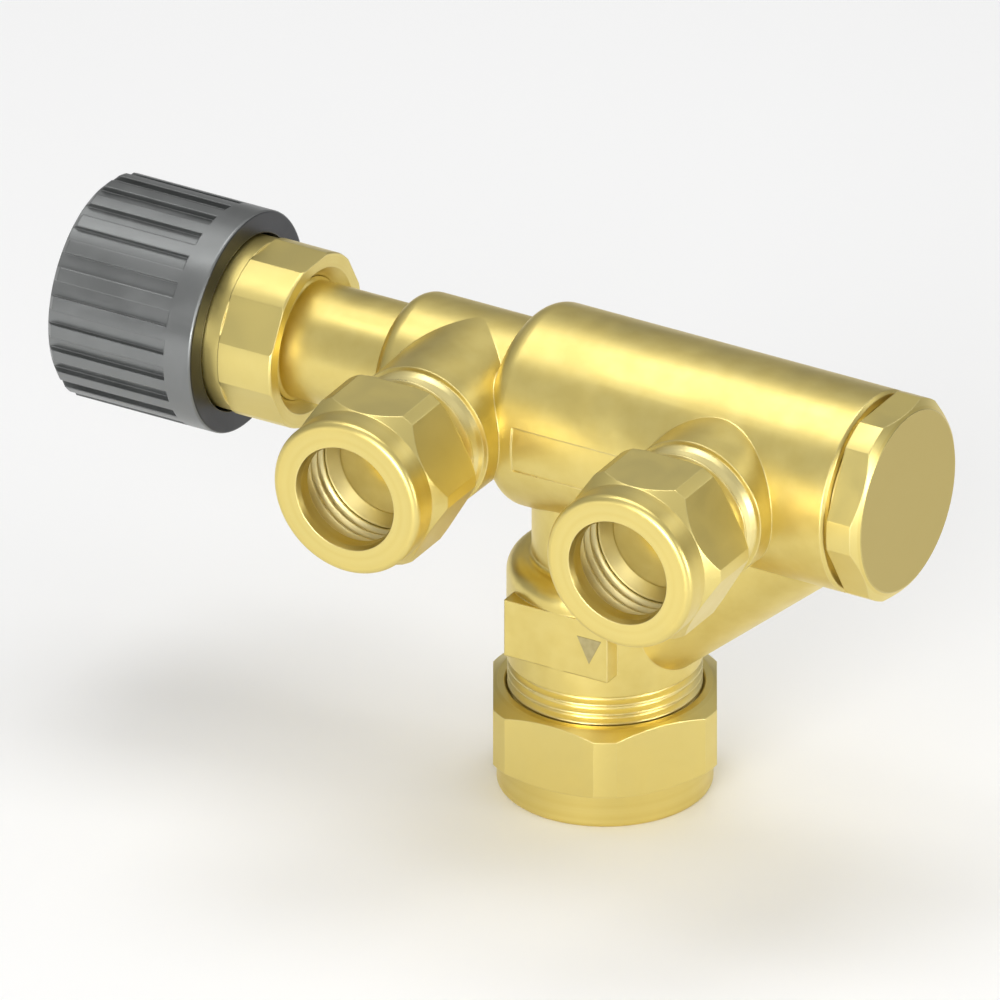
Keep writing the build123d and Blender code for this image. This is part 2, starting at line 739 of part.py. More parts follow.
def push_rod():
    """Non-turning rod: lead screw, hexagonal key and a long nose that holds the wax rod."""
    screw = tube(PUSH_ROD_LEFT, PUSH_KEY_LEFT, LEAD_THREAD_R, 0, HEAD)
    key = hexagon(KEY_FLATS - 2 * RUN, PUSH_KEY_LEFT, PILOT_RIGHT, HEAD, FLAT_UP)
    nose = tube(SPIGOT_LEFT + PILOT_RIGHT, PUSH_ROD_RIGHT, PUSH_ROD_R, 0, MAIN)
    socket = tube(
        PUSH_ROD_RIGHT - WAX_ROD_SEAT, PUSH_ROD_RIGHT + 1, WAX_ROD_R + RUN, 0, MAIN
    )
    return screw + key + nose - socket


def wax_rod():
    """Piston of the thermostat, standing in the push rod's nose."""
    return tube(PUSH_ROD_RIGHT - WAX_ROD_SEAT, WAX_ROD_RIGHT, WAX_ROD_R, 0, MAIN)


def wax_capsule():
    """Sealed wax capsule with its guide stem and flange."""
    flange_right = WAX_FLANGE_LEFT + WAX_FLANGE
    solid = turned(
        [
            (WAX_STEM_LEFT, 0),
            (WAX_STEM_LEFT, WAX_STEM_R),
            (WAX_BODY_LEFT, WAX_STEM_R),
            (WAX_BODY_LEFT, WAX_BODY_R, WAX_BODY_ROUND),
            (WAX_FLANGE_LEFT, WAX_BODY_R),
            (WAX_FLANGE_LEFT, WAX_FLANGE_R),
            (flange_right, WAX_FLANGE_R),
            (flange_right, 0),
        ],
        MAIN,
    )
    guide = tube(WAX_STEM_LEFT - 1, WAX_ROD_RIGHT + 1, WAX_ROD_R + RUN, 0, MAIN)
    return solid - guide


def shuttle():
    """Moulded shuttle: a cold disc and a hot ring joined by ribs round the capsule."""
    cold_disc = tube(
        SHUTTLE_LEFT, SHUTTLE_LEFT + SHUTTLE_DISC, SHUTTLE_R, WAX_STEM_R + SMALL_GAP, MAIN
    )
    hot_ring = tube(SHUTTLE_RING_LEFT, SHUTTLE_RIGHT, SHUTTLE_R, 0, MAIN)
    ribs = [
        MAIN
        * Rot(0, 0, index * 360 / SHUTTLE_RIBS + SHUTTLE_RIB_TURN)
        * Pos(SHUTTLE_RIB_R / 2, 0, (SHUTTLE_LEFT + SHUTTLE_RING_LEFT) / 2)
        * Box(SHUTTLE_RIB_R, SHUTTLE_RIB_WIDTH, SHUTTLE_RING_LEFT - SHUTTLE_LEFT)
        for index in range(SHUTTLE_RIBS)
    ]
    room = turned(
        [
            (SHUTTLE_LEFT + SHUTTLE_DISC, 0),
            (SHUTTLE_LEFT + SHUTTLE_DISC, WAX_BODY_R + SMALL_GAP),
            (WAX_FLANGE_LEFT, WAX_BODY_R + SMALL_GAP),
            (WAX_FLANGE_LEFT, WAX_FLANGE_R + RUN),
            (SHUTTLE_RIGHT + 1, WAX_FLANGE_R + RUN),
            (SHUTTLE_RIGHT + 1, 0),
        ],
        MAIN,
    )
    stem_room = tube(SHUTTLE_LEFT - 1, WAX_FLANGE_LEFT, WAX_STEM_R + SMALL_GAP, 0, MAIN)
    return cold_disc + hot_ring + ribs - room - stem_room


def shuttle_stem():
    """Stem that closes the shuttle behind the capsule and runs through the divider."""
    left = WAX_FLANGE_LEFT + WAX_FLANGE
    return turned(
        [
            (left, 0),
            (left, WAX_FLANGE_R),
            (SHUTTLE_RIGHT, WAX_FLANGE_R),
            (SHUTTLE_RIGHT, STEM_R),
            (STEM_RIGHT, STEM_R),
            (STEM_RIGHT, STEM_NOSE_R),
            (STEM_RIGHT + STEM_NOSE, STEM_NOSE_R),
            (STEM_RIGHT + STEM_NOSE, 0),
        ],
        MAIN,
    )


def hot_seat():
    """Seat ring between the mixing chamber and the hot gallery."""
    return tube(CHAMBER_RIGHT, CHAMBER_RIGHT + HOT_SEAT, HOT_BORE_R, HOT_SEAT_HOLE_R, MAIN)


def divider():
    """Wall between the hot gallery and the end chamber, with a hub that guides the stem."""
    right = PLUG_BORE_LEFT + DIVIDER
    outer_r = PLUG_BORE_R - RUN
    outline = [
        (DIVIDER_HUB_LEFT, STEM_R + RUN),
        (DIVIDER_HUB_LEFT, DIVIDER_HUB_R),
        (PLUG_BORE_LEFT, DIVIDER_HUB_R),
        (PLUG_BORE_LEFT, outer_r),
        (right, outer_r),
        (right, STEM_R + RUN),
    ]
    outer_groove = tube(
        PLUG_BORE_LEFT + (DIVIDER - RING_GROOVE) / 2,
        PLUG_BORE_LEFT + (DIVIDER + RING_GROOVE) / 2,
        PLUG_BORE_R + 1,
        PLUG_BORE_R - 2 * SMALL_SECTION - SEAL_NIP,
        MAIN,
    )
    inner_groove = tube(
        STEM_RING_X - RING_GROOVE / 2,
        STEM_RING_X + RING_GROOVE / 2,
        STEM_R + 2 * SMALL_SECTION + SEAL_NIP,
        0,
        MAIN,
    )
    return turned(outline, MAIN) - outer_groove - inner_groove


def divider_o_ring():
    """Ring round the divider."""
    centre_r = PLUG_BORE_R - SMALL_SECTION - SEAL_NIP / 2
    return ring(PLUG_BORE_LEFT + DIVIDER / 2, centre_r, SMALL_SECTION, MAIN)


def stem_o_ring():
    """Ring in the divider's hub that the stem slides through."""
    return ring(STEM_RING_X, STEM_R + SMALL_SECTION + SEAL_NIP, SMALL_SECTION, MAIN)


def end_plug():
    """Hexagonal plug with a windowed skirt that holds the divider and the spring."""
    skirt_left = PLUG_BORE_LEFT + DIVIDER
    thread_r = PLUG_BORE_R - RUN
    inner = tube(skirt_left, PLUG_THREAD_LEFT, PLUG_SKIRT_R, PLUG_SKIRT_BORE_R, MAIN)
    threaded = tube(PLUG_THREAD_LEFT, PLUG_HEAD_LEFT, thread_r, 0, MAIN)
    collar = tube(BARREL_RIGHT + SMALL_GAP, PLUG_HEAD_LEFT, PLUG_COLLAR_R, 0, MAIN)
    head = turned(
        [
            (PLUG_HEAD_LEFT, 0),
            (PLUG_HEAD_LEFT, PLUG_CORNER_R),
            (PLUG_HEAD_RIGHT - PLUG_FACE_BREAK, PLUG_CORNER_R),
            (PLUG_HEAD_RIGHT, PLUG_FACE_R),
            (PLUG_HEAD_RIGHT, 0),
        ],
        MAIN,
    )
    head &= hexagon(PLUG_FLATS, PLUG_HEAD_LEFT - 1, PLUG_HEAD_RIGHT + 1, MAIN, FLAT_UP)
    pocket = tube(PLUG_THREAD_LEFT - 1, SPRING_POCKET_RIGHT, SPRING_POCKET_R, 0, MAIN)
    ring_groove = tube(
        PLUG_RING_X - RING_GROOVE / 2,
        PLUG_RING_X + RING_GROOVE / 2,
        PLUG_BORE_R + 1,
        PLUG_BORE_R - 2 * SMALL_SECTION - SEAL_NIP,
        MAIN,
    )
    window_length = PLUG_THREAD_LEFT - PLUG_WINDOW_LEFT - 1
    windows = [
        MAIN
        * Rot(0, 0, index * 360 / PLUG_WINDOWS)
        * Pos(PLUG_SKIRT_R, 0, PLUG_WINDOW_LEFT + window_length / 2)
        * Box(2 * (PLUG_SKIRT_R - PLUG_SKIRT_BORE_R) + 2, PLUG_WINDOW_WIDTH, window_length)
        for index in range(PLUG_WINDOWS)
    ]
    return inner + threaded + collar + head - pocket - ring_groove - windows


def end_plug_o_ring():
    """Ring that seals the end plug."""
    centre_r = PLUG_BORE_R - SMALL_SECTION - SEAL_NIP / 2
    return ring(PLUG_RING_X, centre_r, SMALL_SECTION, MAIN)


def return_spring():
    """Spring that pushes the shuttle back towards the knob."""
    return coil(
        STEM_RIGHT, SPRING_POCKET_RIGHT, RETURN_SPRING_R, RETURN_WIRE_R, RETURN_TURNS, MAIN
    )


def check_cage(place):
    """Cage of one check valve, with a hub that guides the poppet's stem."""
    start = CHECK_BORE_START
    outer_r = CHECK_BORE_R - RUN
    inner_r = outer_r - CHECK_WALL
    wall = tube(start, CHECK_CAGE_END, outer_r, inner_r, place)
    hub = tube(start, start + CHECK_HUB, CHECK_HUB_R, 0, place)
    arms = [
        place
        * Rot(0, 0, index * 360 / CHECK_ARMS + CHECK_ARM_TURN)
        * Pos((inner_r + CHECK_WALL / 2) / 2, 0, start + CHECK_HUB / 2)
        * Box(inner_r + CHECK_WALL / 2, CHECK_ARM_WIDTH, CHECK_HUB)
        for index in range(CHECK_ARMS)
    ]
    stem_hole = tube(start - 1, start + CHECK_HUB + 1, POPPET_STEM_R + RUN, 0, place)
    return wall + hub + arms - stem_hole


def check_seat(place):
    """Seat ring of one check valve, held in front of its cage."""
    return tube(
        CHECK_CAGE_END, INLET_STOP - SMALL_GAP, CHECK_BORE_R - RUN, CHECK_SEAT_HOLE_R, place
    )


def check_poppet(place):
    """Poppet of one check valve: a disc behind the seat and a guided stem."""
    disc_end = CHECK_CAGE_END - RUN
    disc_start = disc_end - POPPET_THICKNESS
    disc = tube(disc_start, disc_end, POPPET_R, 0, place)
    return disc + tube(POPPET_STEM_END, disc_start, POPPET_STEM_R, 0, place)


def check_spring(place):
    """Spring of one check valve, between the cage's hub and the poppet's disc."""
    start = CHECK_BORE_START + CHECK_HUB
    end = CHECK_CAGE_END - RUN - POPPET_THICKNESS
    return coil(start, end, CHECK_SPRING_R, CHECK_WIRE_R, CHECK_TURNS, place)


def all_nodes():
    """Every piece by its node's name."""
    nodes = {
        "valve_body": valve_body(),
        "bonnet": bonnet(),
        "bonnet_o_ring": bonnet_o_ring(),
        "spindle": spindle(),
        "spindle_o_ring": spindle_o_ring(),
        "spindle_clip": spindle_clip(),
        "knob": knob(),
        "knob_screw": knob_screw(),
        "push_rod": push_rod(),
        "wax_rod": wax_rod(),
        "wax_capsule": wax_capsule(),
        "shuttle": shuttle(),
        "shuttle_stem": shuttle_stem(),
        "hot_seat": hot_seat(),
        "divider": divider(),
        "divider_o_ring": divider_o_ring(),
        "stem_o_ring": stem_o_ring(),
        "end_plug": end_plug(),
        "end_plug_o_ring": end_plug_o_ring(),
        "return_spring": return_spring(),
        "outlet_nut": compression_nut_22(),
    }
    for name, place in (("cold", COLD), ("hot", HOT)):
        nodes[f"{name}_nut"] = compression_nut_15(place)
        nodes[f"{name}_check_cage"] = check_cage(place)
        nodes[f"{name}_check_seat"] = check_seat(place)
        nodes[f"{name}_check_poppet"] = check_poppet(place)
        nodes[f"{name}_check_spring"] = check_spring(place)
    return nodes


os.makedirs("parts", exist_ok=True)
for node_name, piece in all_nodes().items():
    export_step(piece, f"parts/{node_name}.step")
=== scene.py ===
"""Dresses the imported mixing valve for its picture.

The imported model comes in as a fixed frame, in metres: the main axis runs along X, the knob is at
-X, both inlets face -Y and the outlet faces -Z. Each sub-assembly below is a class that finishes
its own pieces, and the finishes are small classes that share a few shader groups.
"""

import logging
import math
from dataclasses import dataclass, field
from enum import Enum

import bmesh
import bpy
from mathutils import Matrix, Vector


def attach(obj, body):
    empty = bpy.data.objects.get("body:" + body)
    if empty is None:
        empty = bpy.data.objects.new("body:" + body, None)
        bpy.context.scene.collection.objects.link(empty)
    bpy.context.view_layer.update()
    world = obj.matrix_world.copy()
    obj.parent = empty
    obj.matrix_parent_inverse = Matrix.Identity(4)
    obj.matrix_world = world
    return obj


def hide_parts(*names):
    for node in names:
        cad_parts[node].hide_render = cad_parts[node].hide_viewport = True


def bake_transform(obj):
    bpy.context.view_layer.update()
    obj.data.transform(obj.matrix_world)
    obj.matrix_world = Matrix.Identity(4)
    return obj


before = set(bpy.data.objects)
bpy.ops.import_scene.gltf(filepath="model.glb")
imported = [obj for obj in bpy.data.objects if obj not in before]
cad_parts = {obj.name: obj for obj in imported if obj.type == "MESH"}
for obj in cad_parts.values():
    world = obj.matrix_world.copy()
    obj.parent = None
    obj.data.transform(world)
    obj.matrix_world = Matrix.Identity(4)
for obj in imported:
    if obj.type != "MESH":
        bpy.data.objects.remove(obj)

LOG = logging.getLogger("mixing_valve")
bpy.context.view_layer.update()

Colour = tuple[float, float, float]
Point = tuple[float, float, float]
Range = tuple[float, float]
Socket = bpy.types.NodeSocket
Sockets = bpy.types.bpy_prop_collection
Value = Socket | float | tuple

AXIS_HEIGHT = 0.036  # the main axis and both inlets' axes, above the outlet's pipe stop
MASK_EDGE = 0.00005  # over this length a sharp mask goes from 0 to 1


class Line(Enum):
    """A turning axis of the valve: a point on it and the turn that brings it onto local Z."""

    MAIN = ((0.0, 0.0, AXIS_HEIGHT), (0.0, math.radians(-90.0), 0.0))
    COLD = ((-0.020, 0.0, AXIS_HEIGHT), (math.radians(90.0), 0.0, 0.0))
    HOT = ((0.025, 0.0, AXIS_HEIGHT), (math.radians(90.0), 0.0, 0.0))
    OUTLET = ((0.0, 0.0, AXIS_HEIGHT), (0.0, 0.0, 0.0))

    @property
    def point(self) -> Point:
        """A point on the axis, in metres."""
        return self.value[0]

    @property
    def turn(self) -> Point:
        """Euler angles that lay the axis along local Z."""
        return self.value[1]


class NodeSheet:
    """Places and joins nodes in one node tree."""

    column_width: int = 190
    row_height: int = 170
    rows: int = 4

    def __init__(self, tree: bpy.types.NodeTree) -> None:
        """Start on a tree.

        Args:
            tree: The material's, world's or group's node tree.
        """
        self.tree = tree
        self.column = 0

    def add(self, kind: str, inputs: dict | None = None, **settings: object) -> bpy.types.Node:
        """Add one node.

        Args:
            kind: The node's type name.
            inputs: Values or output sockets for its inputs, by name or index.
            settings: Properties of the node itself.

        Returns:
            The new node.
        """
        node = self.tree.nodes.new(kind)
        node.location = (
            self.column * self.column_width, -(self.column % self.rows) * self.row_height,
        )
        self.column += 1
        for name, value in settings.items():
            setattr(node, name, value)
        for key, value in (inputs or {}).items():
            self.feed(node.inputs[key], value)
        return node

    def feed(self, socket: Socket, value: Value) -> None:
        """Join an output socket to an input, or set the input's own value.

        Args:
            socket: The input.
            value: An output socket, or a plain value.
        """
        if isinstance(value, Socket):
            self.tree.links.new(value, socket)
        else:
            socket.default_value = value

    def calc(self, operation: str, first: Value, second: Value = 0.0, third: Value = 0.0) -> Socket:
        """One Math node.

        Args:
            operation: The operation's name.
            first: First value or socket.
            second: Second value or socket.
            third: Third value or socket, where the operation has one.

        Returns:
            The result's socket.
        """
        inputs = {0: first, 1: second, 2: third}
        return self.add("ShaderNodeMath", inputs, operation=operation).outputs[0]

    def reach(self, first: Socket, second: Socket) -> Socket:
        """Distance from an axis, from the two coordinates across it.

        Args:
            first: First coordinate.
            second: Second coordinate.

        Returns:
            The distance's socket.
        """
        square = self.calc("MULTIPLY", second, second)
        return self.calc("SQRT", self.calc("MULTIPLY_ADD", first, first, square))

    def split(self, vector: Socket) -> Sockets:
        """Take a vector apart into its X, Y and Z."""
        return self.add("ShaderNodeSeparateXYZ", {0: vector}).outputs

    def span(
        self, value: Socket, low: float, high: float, out_low: float = 0.0, out_high: float = 1.0,
    ) -> Socket:
        """Map a value from one range onto another, clamped.

        Args:
            value: The value's socket.
            low: Value that becomes out_low.
            high: Value that becomes out_high.
            out_low: Start of the new range.
            out_high: End of the new range.

        Returns:
            The result's socket.
        """
        inputs = {
            "Value": value, "From Min": low, "From Max": high,
            "To Min": out_low, "To Max": out_high,
        }
        return self.add("ShaderNodeMapRange", inputs).outputs["Result"]

    def between(self, mask: Socket, low: float, high: float) -> Socket:
        """A value that goes from low to high as the mask goes from 0 to 1."""
        return self.span(mask, 0.0, 1.0, low, high)

    def blend(self, share: Value, first: Value, second: Value) -> Socket:
        """Mix two colours.

        Args:
            share: Share of the second colour, a value or a socket.
            first: First colour or socket.
            second: Second colour or socket.

        Returns:
            The mixed colour's socket.
        """
        node = self.add("ShaderNodeMix", {0: share}, data_type="RGBA")
        for index, colour in ((6, first), (7, second)):
            self.feed(node.inputs[index], colour if isinstance(colour, Socket) else (*colour, 1.0))
        return node.outputs[2]

    def noise(self, at: Socket, scale: Value, detail: float, **more: float) -> Socket:
        """Noise in three directions.

        Args:
            at: Coordinates.
            scale: Grains to each unit of them.
            detail: Layers of finer noise.
            more: Other inputs of the texture, by name.

        Returns:
            The noise, near 0.5 on average.
        """
        inputs = {"Vector": at, "Scale": scale, "Detail": detail, **more}
        return self.add("ShaderNodeTexNoise", inputs).outputs["Fac"]

    def line_noise(self, station: Socket, detail: float) -> Socket:
        """Noise along one direction.

        Args:
            station: Where on the line, in grains.
            detail: Layers of finer noise.

        Returns:
            The noise, near 0.5 on average.
        """
        inputs = {"W": station, "Scale": 1.0, "Detail": detail}
        return self.add("ShaderNodeTexNoise", inputs, noise_dimensions="1D").outputs["Fac"]


class FinishSheet(NodeSheet):
    """The node sheet of a new material, with its Principled shader."""

    def __init__(self, title: str) -> None:
        """Start an empty material.

        Args:
            title: The material's name.
        """
        self.made = bpy.data.materials.new(title)
        self.made.use_nodes = True
        self.made.node_tree.nodes.clear()
        super().__init__(self.made.node_tree)
        self.shader = self.add("ShaderNodeBsdfPrincipled")
        self.add("ShaderNodeOutputMaterial", {"Surface": self.shader.outputs[0]})

    def plain(self) -> Socket:
        """The part's own coordinates, in metres."""
        return self.add("ShaderNodeTexCoord").outputs["Object"]

    def laid_along(self, line: Line, plain: Socket) -> Socket:
        """Coordinates that have a turning axis along local Z.

        Args:
            line: The axis.
            plain: The part's own coordinates.

        Returns:
            The turned coordinates.
        """
        moved = self.add("ShaderNodeVectorMath", {0: plain, 1: line.point}, operation="SUBTRACT")
        inputs = {"Vector": moved.outputs[0], "Rotation": line.turn}
        return self.add("ShaderNodeVectorRotate", inputs, rotation_type="EULER_XYZ").outputs[0]

    def complete(
        self, tone: Socket, rough: Socket, height: Socket, depth: float,
        normal: Socket | None = None, metallic: float = 0.0,
    ) -> bpy.types.Material:
        """Join colour, roughness and bump to the shader.

        Args:
            tone: The colour.
            rough: The roughness.
            height: The bump's height, from 0 to 1.
            depth: What a height of 1 stands for, in metres.
            normal: The normal that the bump starts from, where edges are rounded.
            metallic: How metallic it is, the same all over.

        Returns:
            The finished material.
        """
        bump = self.add("ShaderNodeBump", {"Height": height, "Distance": depth})
        if normal is not None:
            self.feed(bump.inputs["Normal"], normal)
        self.feed(self.shader.inputs["Base Color"], tone)
        self.feed(self.shader.inputs["Roughness"], rough)
        self.feed(self.shader.inputs["Normal"], bump.outputs[0])
        self.shader.inputs["Metallic"].default_value = metallic
        return self.made


class ShaderGroup:
    """One effect that several finishes use, kept as a node group."""

    title: str = ""
    takes: dict[str, tuple[str, float | None]] = {}
    gives: dict[str, str] = {}

    def __init__(self) -> None:
        """Make the group's sockets and its nodes."""
        self.tree = bpy.data.node_groups.new(self.title, "ShaderNodeTree")
        for name, (kind, value) in self.takes.items():
            socket = self.tree.interface.new_socket(name, in_out="INPUT", socket_type=kind)
            if value is not None:
                socket.default_value = value
        for name, kind in self.gives.items():
            self.tree.interface.new_socket(name, in_out="OUTPUT", socket_type=kind)
        sheet = NodeSheet(self.tree)
        entry = sheet.add("NodeGroupInput")
        made = self.draw(sheet, entry.outputs)
        sheet.add("NodeGroupOutput", made)

    def draw(self, sheet: NodeSheet, given: Sockets) -> dict[str, Socket]:
        """Draw the effect.

        Args:
            sheet: The group's own node sheet.
            given: The group's inputs, by name.

        Returns:
            The socket for each output's name.
        """
        raise NotImplementedError

    def place(self, sheet: NodeSheet, **inputs: Value) -> Sockets:
        """Put the group in a material.

        Args:
            sheet: The material's node sheet.
            inputs: Values or sockets by input name, with underscores for spaces.

        Returns:
            The group's outputs, by name.
        """
        named = {key.replace("_", " ").capitalize(): value for key, value in inputs.items()}
        node = sheet.add("ShaderNodeGroup", node_tree=self.tree)
        for name, value in named.items():
            sheet.feed(node.inputs[name], value)
        return node.outputs


class CastGrain(ShaderGroup):
    """Fine skin of a casting: small grains over a slow ripple."""

    title = "Cast grain"
    takes = {"Vector": ("NodeSocketVector", None), "Grain size": ("NodeSocketFloat", 0.0006)}
    gives = {"Height": "NodeSocketFloat", "Tone": "NodeSocketFloat"}
    grain_edge: float = 0.6
    ripple_pace: float = 0.17
    ripple_share: float = 0.6
    tone_range: Range = (0.35, 0.65)

    def draw(self, sheet: NodeSheet, given: Sockets) -> dict[str, Socket]:
        """Grains from one noise, the ripple from a second.

        Args:
            sheet: The group's own node sheet.
            given: The group's inputs.

        Returns:
            Height and tone, both from 0 to 1.
        """
        often = sheet.calc("DIVIDE", 1.0, given["Grain size"])
        slow = sheet.calc("MULTIPLY", often, self.ripple_pace)
        grain = sheet.noise(given["Vector"], often, detail=3.0, Roughness=self.grain_edge)
        ripple = sheet.noise(given["Vector"], slow, detail=2.0)
        grains = sheet.calc("MULTIPLY", grain, 1.0 - self.ripple_share)
        height = sheet.calc("MULTIPLY_ADD", ripple, self.ripple_share, grains)
        return {"Height": height, "Tone": sheet.span(ripple, *self.tone_range)}


class LatheMarks(ShaderGroup):
    """Fine rings left by a turning tool, on walls and faces alike. The axis is local Z."""

    title = "Lathe marks"
    takes = {"Vector": ("NodeSocketVector", None), "Feed": ("NodeSocketFloat", 0.00018)}
    gives = {"Height": "NodeSocketFloat", "Shade": "NodeSocketFloat"}
    wide_pace: float = 0.13
    fine_share: float = 0.7
    shade_range: Range = (0.3, 0.7)

    def draw(self, sheet: NodeSheet, given: Sockets) -> dict[str, Socket]:
        """Lines of equal radius plus height, in two widths.

        Args:
            sheet: The group's own node sheet.
            given: The group's inputs.

        Returns:
            Height of the marks and a slower shade, both from 0 to 1.
        """
        parts = sheet.split(given["Vector"])
        along = sheet.calc("ADD", sheet.reach(parts["Y"], parts["X"]), parts["Z"])
        station = sheet.calc("MULTIPLY", along, sheet.calc("DIVIDE", 1.0, given["Feed"]))
        fine = sheet.line_noise(station, detail=1.0)
        wide = sheet.line_noise(sheet.calc("MULTIPLY", station, self.wide_pace), detail=2.0)
        bands = sheet.calc("MULTIPLY", wide, 1.0 - self.fine_share)
        height = sheet.calc("MULTIPLY_ADD", fine, self.fine_share, bands)
        return {"Height": height, "Shade": sheet.span(wide, *self.shade_range)}


class Handling(ShaderGroup):
    """Marks of use: slow smudges, faint hairlines and small spots."""

    title = "Handling marks"
    takes = {"Vector": ("NodeSocketVector", None), "Patch size": ("NodeSocketFloat", 0.009)}
    gives = {
        "Smudge": "NodeSocketFloat", "Hairlines": "NodeSocketFloat", "Spots": "NodeSocketFloat",
    }
    smudge_swirl: float = 0.8
    smudge_range: Range = (0.38, 0.66)
    hairline_turn: Point = (0.5, 0.9, 0.3)
    hairline_stretch: Point = (1.0, 34.0, 34.0)
    hairline_pace: float = 1.3
    hairline_range: Range = (0.69, 0.74)
    spot_pace: float = 2.6
    spot_range: Range = (0.10, 0.04)

    def draw(self, sheet: NodeSheet, given: Sockets) -> dict[str, Socket]:
        """Three layers at three scales.

        Args:
            sheet: The group's own node sheet.
            given: The group's inputs.

        Returns:
            Smudge, hairline and spot masks, each from 0 to 1.
        """
        at = given["Vector"]
        often = sheet.calc("DIVIDE", 1.0, given["Patch size"])
        smudge = sheet.noise(at, often, detail=4.0, Distortion=self.smudge_swirl)
        stretch = {"Vector": at, "Rotation": self.hairline_turn, "Scale": self.hairline_stretch}
        tilted = sheet.add("ShaderNodeMapping", stretch).outputs[0]
        thin = sheet.noise(tilted, sheet.calc("MULTIPLY", often, self.hairline_pace), detail=1.0)
        cells = {"Vector": at, "Scale": sheet.calc("MULTIPLY", often, self.spot_pace)}
        speck = sheet.add("ShaderNodeTexVoronoi", cells).outputs["Distance"]
        return {
            "Smudge": sheet.span(smudge, *self.smudge_range),
            "Hairlines": sheet.span(thin, *self.hairline_range),
            "Spots": sheet.span(speck, *self.spot_range),
        }


class EdgeWear(ShaderGroup):
    """Rounds the sharp edges in the shading and finds where they are rubbed bright."""

    title = "Edge wear"
    takes = {"Round": ("NodeSocketFloat", 0.00025), "Vector": ("NodeSocketVector", None)}
    gives = {"Normal": "NodeSocketVector", "Wear": "NodeSocketFloat"}
    samples: int = 6
    bare_range: Range = (0.995, 0.93)
    patch_pace: float = 420.0
    patch_range: Range = (0.3, 0.6)
    least_wear: float = 0.35

    def draw(self, sheet: NodeSheet, given: Sockets) -> dict[str, Socket]:
        """Compare the rounded normal with the plain one.

        Args:
            sheet: The group's own node sheet.
            given: The group's inputs.

        Returns:
            The rounded normal, and wear from 0 to 1.
        """
        bevel = sheet.add("ShaderNodeBevel", {"Radius": given["Round"]}, samples=self.samples)
        normals = {0: bevel.outputs[0], 1: sheet.add("ShaderNodeNewGeometry").outputs["Normal"]}
        match = sheet.add("ShaderNodeVectorMath", normals, operation="DOT_PRODUCT")
        bare = sheet.span(match.outputs["Value"], *self.bare_range)
        patches = sheet.noise(given["Vector"], self.patch_pace, detail=3.0)
        rubbed = sheet.span(patches, *self.patch_range, self.least_wear, 1.0)
        return {"Normal": bevel.outputs[0], "Wear": sheet.calc("MULTIPLY", bare, rubbed)}


@dataclass
class ShaderBook:
    """The shared groups, built once."""

    grain: CastGrain = field(default_factory=CastGrain)
    lathe: LatheMarks = field(default_factory=LatheMarks)
    handling: Handling = field(default_factory=Handling)
    edges: EdgeWear = field(default_factory=EdgeWear)


